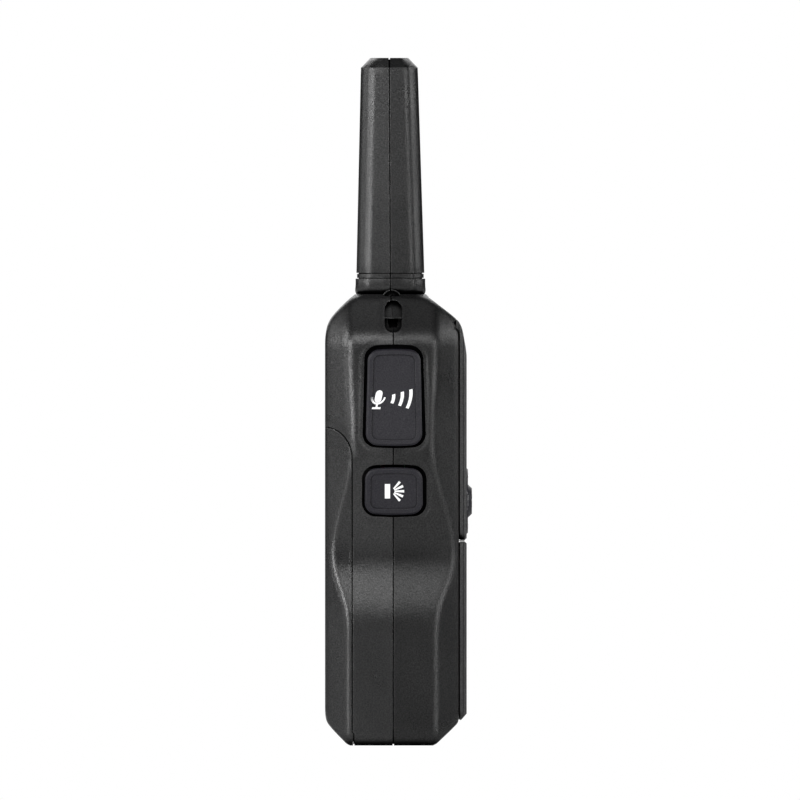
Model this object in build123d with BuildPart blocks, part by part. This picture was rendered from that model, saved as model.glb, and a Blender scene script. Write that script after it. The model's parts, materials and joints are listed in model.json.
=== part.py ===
"""Handheld two way radio with a fixed stub antenna, built as the separate pieces it comes apart into.

Frame, in millimetres: X runs to the right as you face the display, Y runs from the front face (-Y)
to the battery cover (+Y), Z is up. The origin is the middle of the bottom face's width, on the ground.
The talk button and the torch button are on the -X side, the sockets are on the +X side.
"""
import os
from math import cos, hypot, radians, sin, sqrt

from build123d import *

# --- Body ----------------------------------------------------------------------------------------
UPPER_HALF = 28.5  # half width across the talk button
WAIST_HALF = 25.1  # half width at the grip's narrowest
LOWER_HALF = 27.8  # half width below the grip
NECK_HALF = 28.0  # half width under the shoulders
WAIST_Z = 43.0
BACK = 16.65  # back face
FRONT = -14.9  # housing's front face, behind the two front panels
BODY_TOP = 105.9
COLUMN_LOW = 9.0  # the body's front and back are straight between these heights
COLUMN_HIGH = 94.5
WALL = 2.0

BACK_CORNER = (28.5, 10.3)  # where the side face turns into the slanted back corner
BACK_SLANT = (4.8, 6.35)
FRONT_CORNER = (28.5, -8.55)
FRONT_SLANT = (4.2, 6.35)
SIDE_ROUND = 2.7
BACK_ROUND = 2.2
FRONT_ROUND = 0.8
END_CORNER = 1.2  # what is left of the slanted corners at the top and bottom faces
FOOT_TURN = 2.8  # rounding of the sides into the bottom face

SEAM = 0.57  # parting plane of the two housings, which touch there
LINE_WIDTH = 0.34  # shadow line cut along the outside of the seam
LINE_DEPTH = 0.35

# --- Antenna -------------------------------------------------------------------------------------
ANTENNA_X = -12.5
ANTENNA_Y, ANTENNA_LEAN = 1.25, 0.005  # the antenna's middle at its foot, and how it leans back with height
ANTENNA_TOP = 162.0
ANTENNA_WALL = 1.6
ANTENNA_CORNER, ANTENNA_ROUND = 2.5, 2.1
RING_LOW, RING_HIGH = 110.0, 111.35  # the narrow ring above the antenna's collar
TIP_Z = 159.7  # where the tip's chamfer starts
BASE_SIZE, TIP_SIZE, CAP_SIZE = (7.5, 8.0), (6.2, 6.7), (4.1, 4.45)  # half sizes of the mast
COLLAR_SIZE, RING_SIZE, GROOVE_SIZE = (7.6, 8.2), (7.3, 7.85), (7.0, 7.5)
CORE_Y = 1.4
PASSAGE_RADIUS = 3.9  # round passage through the antenna's root

# --- Battery cover and battery bay ---------------------------------------------------------------
COVER_Y = 10.4  # the battery cover takes everything behind this plane
COVER_TOP = 74.8
COVER_ARCH = (BACK - COVER_Y, 7.4)
COVER_GAP = 0.05
COVER_STEP = (0.35, 2.8)  # the cover's parting line steps forward by this much below this height
COVER_TONGUE = (10.0, 1.0)  # half width of the tongue at the cover's top, and its height
RAIL = (22.4, 22.9)  # rail along the housing that the cover's edges close over
DECK = 1.6  # thickness of the housing's wall behind the cover
BAY_HALF, BAY_LOW, BAY_HIGH, BAY_FLOOR = 22.35, 9.0, 64.2, -0.3
BAY_WALL = 1.2
CELL_Y, CELL_RADIUS, CELL_PITCH = 7.25, 7.25, 14.8
CELL_LOW, CELL_HIGH = 11.9, 61.3

# --- Side keys -----------------------------------------------------------------------------------
# the y limits are (at the low end, at the high end); outer is the cap's face in the same order
PTT = dict(front=(-6.3, -5.85), back=(7.1, 6.55), z=(71.0, 93.0), outer=(29.5, 29.15), root=25.7)
TORCH = dict(front=(-6.45, -6.3), back=(7.35, 7.2), z=(54.75, 65.05), outer=(27.1, 28.95), root=24.6)
PTT_OPENING = dict(front=(-7.2, -6.4), back=(7.9, 7.3), z=(70.5, 94.0))
TORCH_OPENING = dict(front=(-7.28, -7.28), back=(7.94, 7.94), z=(54.25, 65.75))
SIDE_KEY_CORNER, OPENING_CORNER = 2.8, 3.3
SIDE_KEY_BOW = 0.45
SIDE_KEY_LIP = 0.6  # how far the flange inside reaches past the opening
SIDE_KEY_RIM = 1.35  # width of the raised rim around the cap's shallow recess
SWITCH_Y = -4.2
PTT_SWITCH_Z, TORCH_SWITCH_Z = 82.0, 60.0
SWITCH_X = -23.0  # outer face of the tact switches

# --- Front ---------------------------------------------------------------------------------------
FACE = -16.72  # outer face of the front panels
PANEL_HALF = 23.8
PANEL_SEAT = -14.3  # floor of the recess that holds a panel
PANEL_STEP = -15.8
PANEL_UNDERCUT = -15.15
UPPER_PANEL, LOWER_PANEL = (48.4, 100.4), (6.0, 48.05)
PANEL_CORNER, PANEL_TOP_CORNER = 3.0, 5.0
PANEL_RIB = -16.2  # front of the thin rib between the two panels
WINDOW = dict(half=13.0, z=(72.9, 90.3))
LENS = dict(half=15.4, z=(70.8, 92.4))
PAD_Z = 57.6
PAD_RADIUS, CENTRE_RADIUS = 7.8, 3.9
PAD_GAP = 0.3
KEY_FACE, CENTRE_FACE = -17.02, -17.95
SIDE_PILL = (16.8, 7.2, 4.6)  # centre x, width and height of the two outer keys
KEY_TRAVEL = 0.5
MAT_Y = (-9.6, -8.9)
BOARD_Y = (-8.2, -7.0)
BOARD_Z = (47.0, 93.2)
SPEAKER_Z = 27.5
SPEAKER_RADIUS = 18.0
GRILLE_RADIUS = 15.0
MIC = (-18.8, 12.6)

# --- Fasteners and sockets -------------------------------------------------------------------------
HOUSING_SCREWS = [(-15.0, 96.2), (15.5, 96.2), (-16.0, 4.75), (16.0, 4.75)]
SCREW_SEAT = 6.0
BOARD_SCREWS = [(-19.0, 50.6), (19.0, 50.6)]
SOCKET_Y = -0.2
JACK_Z, CHARGE_Z = 86.0, 77.2
JACK_BORE = 1.25
FLAP_Y, FLAP_Z, FLAP_FLOOR, FLAP_GAP = (-5.0, 4.6), (72.0, 91.0), 27.1, 0.25
TORCH_X = 10.0
LANYARD_WIDTH, LANYARD_Z = 4.1, (97.25, 104.9)
LANYARD_HOLE_TOP = 100.6
LANYARD_TUNNEL = 1.3
LANYARD_MOUTH = [(-1.1, 105.9), (0.95, 107.3), (3.0, 105.9)]  # arch at the tunnel's upper end, in Y and Z
CLIP_SLOT = dict(mouth=5.5, wide=8.0, z=(79.0, 96.5), entry=91.0, lip=1.1, depth=2.7)

os.makedirs("parts", exist_ok=True)


# --- Helpers ---------------------------------------------------------------------------------------
def block(x, y, z, mode=Mode.ADD):
    """A box given by its limits along each axis."""
    with Locations(((x[0] + x[1]) / 2, (y[0] + y[1]) / 2, (z[0] + z[1]) / 2)):
        Box(x[1] - x[0], y[1] - y[0], z[1] - z[0], mode=mode)


def rod(axis, centre, radius, low, high, mode=Mode.ADD):
    """A round bar along "x", "y" or "z" from low to high; centre is its place across that axis."""
    origin = {"x": (low, *centre), "y": (centre[0], low, centre[1]), "z": (*centre, low)}[axis]
    direction = {"x": (1, 0, 0), "y": (0, 1, 0), "z": (0, 0, 1)}[axis]
    with Locations(Plane(origin=origin, z_dir=direction)):
        Cylinder(radius, high - low, align=(Align.CENTER, Align.CENTER, Align.MIN), mode=mode)


def save(piece, label):
    piece.part.label = label
    export_step(piece.part, f"parts/{label}.step")


def ramp(distance, softness):
    """0 far below zero, distance far above it, and a smooth turn in between."""
    return (distance + sqrt(distance * distance + softness * softness)) / 2


def turn_in(run, start, softness, steepness=1.0):
    """How far a face has come in after a run: almost nothing up to start, then steepness times the run."""
    first_slope = steepness * (1 - start / hypot(start, softness)) / 2
    eased = first_slope * run * max(0, 1 - run / start) ** 2
    return steepness * (ramp(run - start, softness) - ramp(-start, softness)) - eased


def mirrored(right_half):
    return [*right_half, *[(-x, y) for x, y in reversed(right_half)]]


# --- Form of the body ------------------------------------------------------------------------------
def plan_points(half_width, inset, side_drop=0.0, front_drop=0.0, back_drop=0.0):
    """The right half of the plan, front to back, where side, front and back have come in by the drops.

    The slanted corners shrink to END_CORNER as the front or back face comes in.
    """
    ends = []
    for (x, y), (run_x, run_y), face, way, drop in (
        (FRONT_CORNER, FRONT_SLANT, FRONT + inset, -1, front_drop),
        (BACK_CORNER, BACK_SLANT, BACK - inset, 1, back_drop),
    ):
        length = hypot(run_x, run_y)
        slope = run_y / run_x
        x -= inset * run_y / length
        y -= way * inset * run_x / length
        full = way * (face - y) - (x - half_width) * slope
        spare = full - END_CORNER
        corner = END_CORNER + spare + ramp(spare - drop, 0.8) - ramp(spare, 0.8)
        end_y = face - way * drop
        side_x = half_width - side_drop
        ends.append(((side_x, end_y - way * corner), (side_x - corner / slope, end_y)))
    (front_side, front_end), (back_side, back_end) = ends
    return [front_end, front_side, back_side, back_end]


def plan_ring(z, half_width, inset, side_drop, front_drop, back_drop):
    points = plan_points(half_width, inset, side_drop, front_drop, back_drop)
    front_end, front_side, back_side, back_end = points
    with BuildSketch(Plane.XY.offset(z)) as ring:
        with BuildLine():
            Polyline(*mirrored(points), close=True)
        make_face()
        if inset == 0:
            for (side, end, end_round) in (
                (front_side, front_end, FRONT_ROUND),
                (back_side, back_end, BACK_ROUND),
            ):
                slant = hypot(side[0] - end[0], side[1] - end[1])
                share = min(1, 0.42 * slant)
                for point, radius in ((side, SIDE_ROUND), (end, end_round)):
                    here = [v for v in ring.vertices()
                            if abs(abs(v.X) - point[0]) < 0.01 and abs(v.Y - point[1]) < 0.01]
                    fillet(here, radius=radius * share)
    return ring.sketch.face()


def shoulder_ring(z, inset):
    run = z - COLUMN_HIGH
    lip = 1.2 * max(0, z - (BODY_TOP - inset - 0.6)) ** 2
    side = 0.82 * run**2 / (run + 5)
    front = turn_in(run, 5.7, 0.7, 1.32)
    back = turn_in(run, 5.8, 2.6, 1.14)
    return plan_ring(z, NECK_HALF - inset, inset, side + lip, front + lip, back + lip)


def foot_ring(z, inset):
    run = COLUMN_LOW - z
    height = z - inset
    lip = 0.9 * max(0, 0.7 - height) ** 2
    side = min(2.0, FOOT_TURN - sqrt(FOOT_TURN**2 - max(0, FOOT_TURN - height) ** 2))
    front = turn_in(run, 3.6, 0.6, 1.06)
    back = turn_in(run, 3.5, 1.2)
    return plan_ring(z, LOWER_HALF - inset, inset, side, front + lip, back + lip)


def body_column(inset):
    """The straight part of the body, with the waist of the grip cut into its sides."""
    points = plan_points(31, inset)
    with BuildPart() as column:
        with BuildSketch(Plane.XY.offset(COLUMN_LOW)) as plan:
            with BuildLine():
                Polyline(*mirrored(points), close=True)
            make_face()
            if inset == 0:
                fillet([v for v in plan.vertices() if abs(v.Y - BACK) < 0.01], radius=BACK_ROUND)
                fillet([v for v in plan.vertices() if abs(v.Y - FRONT) < 0.01], radius=FRONT_ROUND)
        extrude(amount=COLUMN_HIGH - COLUMN_LOW)
        with BuildSketch(Plane.XZ.offset(20)):
            with BuildLine():
                Line((0, 0), (LOWER_HALF - inset, 0))
                Line((LOWER_HALF - inset, 0), (LOWER_HALF - inset, 27))
                Spline((LOWER_HALF - inset, 27), (WAIST_HALF - inset, WAIST_Z), (28.2 - inset, 66.5),
                       (UPPER_HALF - inset, 76), (NECK_HALF - inset, COLUMN_HIGH), tangents=[(0, 1), (0, 1)])
                Line((NECK_HALF - inset, COLUMN_HIGH), (NECK_HALF - inset, BODY_TOP))
                Line((NECK_HALF - inset, BODY_TOP), (0, BODY_TOP))
                mirror(about=Plane.YZ)
            make_face()
        extrude(amount=-40, mode=Mode.INTERSECT)
        if inset == 0:
            side_edges = [
                edge for edge in column.edges()
                if edge.length > 5 and abs(edge.tangent_at(0.5).Z) > 0.8
                and all(FRONT + 1 < p.Y < BACK - 1.6 for p in (edge.start_point(), edge.end_point()))
            ]
            fillet(side_edges, radius=SIDE_ROUND)
    return column.part


def body_form(inset=0.0):
    """The whole body's form, set inwards by inset; deep insets use fewer sections."""
    top = BODY_TOP - inset
    if inset < 1:
        shoulder = [COLUMN_HIGH, 95.4, 96.6, 98.0, 99.2, 100.2, 101.0, 102.0, 103.5]
        shoulder += [top - 0.9, top - 0.4, top]
        foot = [COLUMN_LOW, 8, 7, 6.3, 5.6, 4.8, 3.8, 2.8]
        foot += [inset + rise for rise in (1.8, 1.0, 0.5, 0.2, 0)]
    else:
        shoulder = [COLUMN_HIGH, 99.0, top]
        foot = [COLUMN_LOW, inset + 2.8, inset]
    with BuildPart() as form:
        add(body_column(inset))
        for ring, heights in ((shoulder_ring, shoulder), (foot_ring, foot)):
            loft([ring(z, inset) for z in heights], ruled=inset >= 1)
    return form.part


# --- Form of the antenna -----------------------------------------------------------------------------
def antenna_middle(z):
    return ANTENNA_Y + ANTENNA_LEAN * max(0, z - RING_LOW)


def antenna_ring(z, half_x, half_y, corner=ANTENNA_CORNER, roundness=ANTENNA_ROUND):
    points = [(half_x - corner, -half_y), (half_x, corner - half_y),
              (half_x, half_y - corner), (half_x - corner, half_y)]
    with BuildSketch(Plane(origin=(ANTENNA_X, antenna_middle(z), z))) as ring:
        with BuildLine():
            Polyline(*mirrored(points), close=True)
        make_face()
        fillet(ring.vertices(), radius=roundness)
    return ring.sketch.face()


def antenna_form(inset=0.0):
    """Pedestal, collar with an undercut foot, narrow ring between two fine grooves, mast and tip."""
    pedestal = [(104.0, (8.7, 9.2)), (105.7, (8.5, 9.0)), (106.3, (7.8, 8.4))]
    collar_foot = [(106.3, (6.3, 8.0)), (106.7, (6.8, 8.2)), (107.3, (7.3, 8.3)), (108.0, (7.55, 8.25)),
                   (108.8, COLLAR_SIZE)]
    collar = [(108.8, COLLAR_SIZE), (RING_LOW, COLLAR_SIZE)]
    low_groove = [(RING_LOW, GROOVE_SIZE), (RING_LOW + 0.17, GROOVE_SIZE)]
    ring = [(RING_LOW + 0.17, RING_SIZE), (RING_HIGH - 0.22, RING_SIZE)]
    high_groove = [(RING_HIGH - 0.22, GROOVE_SIZE), (RING_HIGH, GROOVE_SIZE)]
    mast = [(RING_HIGH, BASE_SIZE), (TIP_Z, TIP_SIZE)]
    with BuildPart() as form:
        for stack in (pedestal, collar_foot, collar, low_groove, ring, high_groove, mast):
            rings = [antenna_ring(z, x - inset, y - inset) for z, (x, y) in stack]
            loft(rings, ruled=stack is not collar_foot)
        tip = [(TIP_Z, TIP_SIZE, ANTENNA_CORNER), (ANTENNA_TOP - inset, CAP_SIZE, 1.8)]
        loft([antenna_ring(z, x - inset, y - inset, corner, 0.8 * corner) for z, (x, y), corner in tip])
    return form.part


def antenna_hollow():
    """The room inside the antenna, with a round passage through its root to the body below."""
    inner = [(RING_LOW - 1, RING_SIZE), (RING_HIGH, RING_SIZE), (TIP_Z, TIP_SIZE)]
    with BuildPart() as room:
        rings = [antenna_ring(z, x - ANTENNA_WALL, y - ANTENNA_WALL, 1.6, 1.1) for z, (x, y) in inner]
        loft(rings, ruled=True)
        rod("z", (ANTENNA_X, CORE_Y), PASSAGE_RADIUS, BODY_TOP - 3, RING_LOW)
    return room.part


# --- Shapes both housings are cut from ---------------------------------------------------------------
def seam_side(shift, front):
    """Everything in front of, or behind, the parting line, which steps back under the antenna."""
    line = [(SEAM, -5), (SEAM, 99), (1.0, 104.5), (antenna_middle(107), 107), (antenna_middle(170), 170)]
    far = -40 if front else 40
    with BuildPart() as region:
        with BuildSketch(Plane.YZ.offset(-40)):
            with BuildLine():
                Polyline(*[(y + shift, z) for y, z in line], (far, 170), (far, -5), close=True)
            make_face()
        extrude(amount=80)
    return region.part


def cover_region(grow=0.0):
    """The room the battery cover takes: behind one plane, under an arch that meets the back face."""
    low = COVER_TOP - COVER_ARCH[1]
    edge = COVER_Y - grow
    with BuildPart() as region:
        with BuildSketch(Plane.YZ.offset(-40)):
            with BuildLine():
                Polyline((edge - COVER_STEP[0], -5), (edge - COVER_STEP[0], COVER_STEP[1]),
                         (edge, COVER_STEP[1] + 0.3), (edge, low))
                EllipticalCenterArc((BACK, low), BACK - edge, COVER_ARCH[1] + grow,
                                    start_angle=90, arc_size=90)
                Line((BACK, COVER_TOP + grow), (BACK + 5, COVER_TOP + grow))
                Line((BACK + 5, COVER_TOP + grow), (BACK + 5, -5))
                Line((BACK + 5, -5), (edge - COVER_STEP[0], -5))
            make_face()
        extrude(amount=80)
    return region.part


def cover_tongue(grow=0.0):
    """The tongue in the middle of the cover's top edge, which centres it in the housing."""
    half, height = COVER_TONGUE
    block((-half - grow, half + grow), (BACK - WALL - grow, BACK + 1),
          (COVER_TOP - 3, COVER_TOP + height + grow))


def side_key_outline(key, grow=0.0, corner=SIDE_KEY_CORNER):
    """A side key or its opening seen from the side: tapering sides, bowed ends and round corners."""
    low, high = key["z"]
    (front_low, front_high), (back_low, back_high) = key["front"], key["back"]
    top_middle = ((front_high + back_high) / 2, high + SIDE_KEY_BOW)
    low_middle = ((front_low + back_low) / 2, low - SIDE_KEY_BOW)
    with BuildSketch(Plane.YZ.offset(-34)) as outline:
        with BuildLine():
            Line((front_low, low), (front_high, high))
            ThreePointArc((front_high, high), top_middle, (back_high, high))
            Line((back_high, high), (back_low, low))
            ThreePointArc((back_low, low), low_middle, (front_low, low))
        make_face()
        fillet(outline.vertices(), radius=corner)
        if grow:
            offset(amount=grow)
    return outline.sketch


def side_openings():
    """Openings on the seam: the side keys, the sockets, their flap's recess and the torch lens."""
    for opening in (PTT_OPENING, TORCH_OPENING):
        extrude(side_key_outline(opening, corner=OPENING_CORNER), amount=10.3, mode=Mode.SUBTRACT)
    block((FLAP_FLOOR - 0.1, 32), (FLAP_Y[0] - 0.05, FLAP_Y[1] + FLAP_GAP),
          (FLAP_Z[0] - FLAP_GAP, FLAP_Z[1] + FLAP_GAP), mode=Mode.SUBTRACT)
    rod("x", (SOCKET_Y, JACK_Z), 3.1, 24, 32, mode=Mode.SUBTRACT)
    block((24, 32), (SOCKET_Y - 1.8, SOCKET_Y + 1.8), (CHARGE_Z - 3.9, CHARGE_Z + 3.9), mode=Mode.SUBTRACT)
    rod("z", (TORCH_X, SEAM), 4.1, 100, 110, mode=Mode.SUBTRACT)
    rod("z", (TORCH_X, SEAM), 4.7, 104.7, 110, mode=Mode.SUBTRACT)


outer_body = body_form()
middle_body = body_form(1.0)  # half way through the wall, to trim ribs and decks that join it
inner_body = body_form(WALL)
clear_body = body_form(WALL + 0.1)  # room for pieces that lie behind the wall
shadow_body = body_form(LINE_DEPTH)

with BuildPart() as lanyard_duct:  # solid material around the lanyard slot
    block((-30, -17.2), (SEAM - 3.4, SEAM + 3.4), (95.6, BODY_TOP + 0.5))
    add(outer_body, mode=Mode.INTERSECT)


def lanyard_pill():
    with BuildSketch(Plane.YZ.offset(-32)) as pill_shape:
        with Locations((SEAM, (LANYARD_Z[0] + LANYARD_Z[1]) / 2)):
            SlotOverall(LANYARD_Z[1] - LANYARD_Z[0], LANYARD_WIDTH, rotation=90)
    return pill_shape.sketch


with BuildPart() as lanyard_recess:  # shallow round ended recess that the bar lies in, with a thin ledge
    extrude(lanyard_pill(), amount=11.5)
    add(middle_body, mode=Mode.SUBTRACT)
    block((-24.9, -20), (-5, 5), (LANYARD_HOLE_TOP, LANYARD_HOLE_TOP + 0.25), mode=Mode.SUBTRACT)

with BuildPart() as lanyard_hole:  # its lower end is a deep hole
    extrude(lanyard_pill(), amount=11.2)
    block((-33, -20), (-5, 5), (LANYARD_HOLE_TOP, 110), mode=Mode.SUBTRACT)

with BuildSketch(Plane.YZ.offset(-21)) as mouth_arch:
    with BuildLine():
        ThreePointArc(*LANYARD_MOUTH)
        Line(LANYARD_MOUTH[-1], LANYARD_MOUTH[0])
    make_face()

with BuildPart() as lanyard_tunnel:  # from the hole up behind the bar to a mouth under the collar
    with Locations(Plane(origin=(-21.6, SEAM, 98.8), z_dir=(2.7, 0.4, 7.2))):
        Cylinder(LANYARD_TUNNEL, 8.2, align=(Align.CENTER, Align.CENTER, Align.MIN))
    extrude(mouth_arch.sketch, amount=3.4)

with BuildPart() as mouth_rim:  # fine raised rim around the mouth
    with BuildSketch(Plane.YZ.offset(-20.4)) as rim_shape:
        with BuildLine():
            ThreePointArc(*LANYARD_MOUTH)
        trace(line_width=0.24)
    extrude(amount=1.0)

with BuildPart() as shell:
    add(outer_body)
    add(antenna_form())
    add(inner_body, mode=Mode.SUBTRACT)
    add(antenna_hollow(), mode=Mode.SUBTRACT)
    add(lanyard_duct.part)
    for cut in (lanyard_recess, lanyard_hole, lanyard_tunnel):
        add(cut.part, mode=Mode.SUBTRACT)
    add(mouth_rim.part)

with BuildPart() as seam_line:
    add(seam_side(LINE_WIDTH / 2, front=True))
    add(seam_side(-LINE_WIDTH / 2, front=True), mode=Mode.SUBTRACT)
    add(shadow_body, mode=Mode.SUBTRACT)
    add(antenna_form(LINE_DEPTH), mode=Mode.SUBTRACT)


# --- Front housing -----------------------------------------------------------------------------------
def front_plane(y):
    """A plane facing the front, at depth y; sketches on it are in X and Z."""
    return Plane.XZ.offset(-y)


def rounded_plate(half, z, corner, near, far, mode=Mode.ADD, top_corner=None):
    """A plate with rounded corners, between depths near (front) and far (back)."""
    with BuildSketch(front_plane(far)) as outline:
        with Locations((0, (z[0] + z[1]) / 2)):
            Rectangle(2 * half, z[1] - z[0])
        low_corners, high_corners = outline.vertices().group_by(Axis.Y)
        fillet(low_corners, radius=corner)
        fillet(high_corners, radius=top_corner or corner)
    extrude(outline.sketch, amount=far - near, mode=mode)


def pill(x, width, height, near, far, mode=Mode.ADD):
    with BuildSketch(front_plane(far)) as outline:
        with Locations((x, PAD_Z)):
            SlotOverall(width, height)
    extrude(outline.sketch, amount=far - near, mode=mode)


def key_holes(near, far):
    """Openings for the round pad and for the two outer keys."""
    rod("y", (0, PAD_Z), PAD_RADIUS + PAD_GAP, near, far, mode=Mode.SUBTRACT)
    x, width, height = SIDE_PILL
    for side in (-x, x):
        pill(side, width + 2 * PAD_GAP, height + 2 * PAD_GAP, near, far, mode=Mode.SUBTRACT)


def panel_foot(z, top_corner, near, far, grow=0.0, mode=Mode.ADD):
    """A panel's foot, or the recess for it: narrower than the panel, and almost as long."""
    heights = (z[0] + 0.12 - grow, z[1] - 0.12 + grow)
    inset = 0.6
    half = PANEL_HALF - inset + grow
    rounded_plate(half, heights, PANEL_CORNER - inset, near, far, mode, top_corner - inset)


with BuildPart() as front_ribs:
    for place in HOUSING_SCREWS:
        rod("y", place, 2.5, FRONT, SEAM)
    for place in BOARD_SCREWS:
        rod("y", place, 2.2, FRONT, BOARD_Y[0])
    with BuildSketch(front_plane(-10.6)):  # rib that centres the speaker
        with Locations((0, SPEAKER_Z)):
            Circle(SPEAKER_RADIUS + 1.6)
            Circle(SPEAKER_RADIUS + 0.4, mode=Mode.SUBTRACT)
    extrude(amount=3)
    add(middle_body, mode=Mode.INTERSECT)

with BuildPart() as front_housing:
    add(shell.part)
    add(seam_side(0, front=True), mode=Mode.INTERSECT)
    add(front_ribs.part)
    add(seam_line.part, mode=Mode.SUBTRACT)
    for z, top_corner in ((UPPER_PANEL, PANEL_TOP_CORNER), (LOWER_PANEL, PANEL_CORNER)):
        panel_foot(z, top_corner, -18, PANEL_SEAT, grow=0.1, mode=Mode.SUBTRACT)
    block((-20, 20), (PANEL_RIB, FRONT + 1), (LOWER_PANEL[1] + 0.06, UPPER_PANEL[0] - 0.06))
    rounded_plate(WINDOW["half"], WINDOW["z"], 1.0, -16, -12, mode=Mode.SUBTRACT)
    key_holes(-16, -12)
    rod("y", (0, SPEAKER_Z), GRILLE_RADIUS, -16, -12, mode=Mode.SUBTRACT)
    rod("y", MIC, 0.8, -16, -12, mode=Mode.SUBTRACT)
    for place in HOUSING_SCREWS:
        rod("y", place, 1.15, -8.5, 2, mode=Mode.SUBTRACT)
    for place in BOARD_SCREWS:
        rod("y", place, 0.85, -12.4, -7, mode=Mode.SUBTRACT)
    side_openings()
save(front_housing, "front_housing")


# --- Rear housing ------------------------------------------------------------------------------------
with BuildPart() as cover_room:
    add(cover_region(COVER_GAP))
    cover_tongue(COVER_GAP)

with BuildPart() as rear_ribs:
    add(cover_region(DECK))
    block((-BAY_HALF - BAY_WALL, BAY_HALF + BAY_WALL), (SEAM, COVER_Y),
          (BAY_LOW - BAY_WALL, BAY_HIGH + BAY_WALL))
    for place in HOUSING_SCREWS:
        rod("y", place, 2.9, SEAM, BACK)
    block((-CLIP_SLOT["wide"] - 2, CLIP_SLOT["wide"] + 2), (12.2, BACK), (77, 98.5))
    add(cover_room.part, mode=Mode.SUBTRACT)
    add(middle_body, mode=Mode.INTERSECT)
    for side in (-1, 1):  # rails inside the cover's edges and ribs under its arch, against dust
        block(sorted((side * RAIL[0], side * RAIL[1])), (COVER_Y - 0.8, COVER_Y + 0.5), (0.9, COVER_TOP - 8))
        block(sorted((side * 19.6, side * 20.6)), (COVER_Y - 0.8, BACK - WALL - 0.2), (65.8, COVER_TOP - 0.4))

with BuildPart() as bay_floor:  # reaches past the seam into the front housing
    block((-BAY_HALF - BAY_WALL, BAY_HALF + BAY_WALL), (BAY_FLOOR - BAY_WALL, SEAM + 1),
          (BAY_LOW - BAY_WALL, BAY_HIGH + BAY_WALL))
    add(clear_body, mode=Mode.INTERSECT)

with BuildPart() as cover_line:  # shadow line around the battery cover
    add(cover_region(0.34))
    add(cover_region(-0.05), mode=Mode.SUBTRACT)
    add(shadow_body, mode=Mode.SUBTRACT)

with BuildPart() as rear_housing:
    add(shell.part)
    add(seam_side(0, front=False), mode=Mode.INTERSECT)
    add(cover_room.part, mode=Mode.SUBTRACT)
    add(rear_ribs.part)
    add(bay_floor.part)
    add(seam_line.part, mode=Mode.SUBTRACT)
    add(cover_line.part, mode=Mode.SUBTRACT)
    block((-BAY_HALF, BAY_HALF), (BAY_FLOOR, 20), (BAY_LOW, BAY_HIGH), mode=Mode.SUBTRACT)
    for x, z in HOUSING_SCREWS:
        rod("y", (x, z), 1.25, 0, SCREW_SEAT + 1, mode=Mode.SUBTRACT)
        rod("y", (x, z), 2.2, SCREW_SEAT, 20, mode=Mode.SUBTRACT)
    for x in (-6, 6):  # holes that the battery leads pass through
        rod("z", (x, 3.0), 0.8, BAY_HIGH - 1, BAY_HIGH + 2, mode=Mode.SUBTRACT)
    side_openings()
    low, high = CLIP_SLOT["z"]
    lip_y, floor_y = BACK - CLIP_SLOT["lip"], BACK - CLIP_SLOT["depth"]
    block((-CLIP_SLOT["mouth"], CLIP_SLOT["mouth"]), (floor_y, 20), (low, high), mode=Mode.SUBTRACT)
    block((-CLIP_SLOT["wide"], CLIP_SLOT["wide"]), (floor_y, lip_y), (low, high), mode=Mode.SUBTRACT)
    entry = CLIP_SLOT["entry"]
    block((-CLIP_SLOT["wide"], CLIP_SLOT["wide"]), (floor_y, 20), (entry, high), mode=Mode.SUBTRACT)
save(rear_housing, "rear_housing")

with BuildPart() as cover_blank:
    add(cover_region())
    cover_tongue()

with BuildPart() as battery_cover:
    add(shell.part)
    add(cover_blank.part, mode=Mode.INTERSECT)
    for side in (-1, 1):  # rebates for the housing's rails
        block(sorted((side * (RAIL[0] - 0.15), side * (RAIL[1] + 0.15))), (COVER_Y - 1, COVER_Y + 0.65),
              (-1, COVER_TOP - 3), mode=Mode.SUBTRACT)
    for row in range(5):  # thumb grip
        block((-12, 12), (BACK - 0.5, 20), (12 + 2.6 * row, 13.2 + 2.6 * row), mode=Mode.SUBTRACT)
save(battery_cover, "battery_cover")


# --- Front panels --------------------------------------------------------------------------------------
def panel_blank(z, top_corner):
    """A panel that stands on the housing: a narrow foot, a wide edge and a step back to the face."""
    panel_foot(z, top_corner, PANEL_UNDERCUT, PANEL_SEAT)
    rounded_plate(PANEL_HALF, z, PANEL_CORNER, PANEL_STEP, PANEL_UNDERCUT, top_corner=top_corner)
    rounded_plate(PANEL_HALF - 0.5, z, PANEL_CORNER - 0.5, FACE, PANEL_STEP, top_corner=top_corner - 0.5)


def trim_panel(profile):
    """Cuts a panel back in front of a profile of lines and curves made in Y and Z."""
    extrude(profile, amount=60, mode=Mode.SUBTRACT)


def face_edges(part):
    """The edges around the frontmost face."""
    return part.faces().filter_by(Axis.Y).sort_by(Axis.Y)[0].edges()


with BuildSketch(Plane.YZ.offset(-30)) as upper_fall:  # the upper panel falls back towards the shoulder
    with BuildLine():
        Spline((FACE, 91.2), (-16.09, 96.0), (-15.5, 98.6), (-14.4, 100.35), tangents=[(0, 1), (0.75, 0.66)])
        Polyline((-14.4, 100.35), (-14.4, 102), (-19, 102), (-19, 91.2), (FACE, 91.2))
    make_face()

with BuildSketch(Plane.YZ.offset(-30)) as lower_fall:  # the lower panel has a bevelled bottom edge
    with BuildLine():
        Polyline((FACE - 1, 5), (FACE - 1, 7.5), (FACE, 7.5), (-15.4, 6.0), (-15.0, 5.8), (-15.0, 5),
                 close=True)
    make_face()

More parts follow.
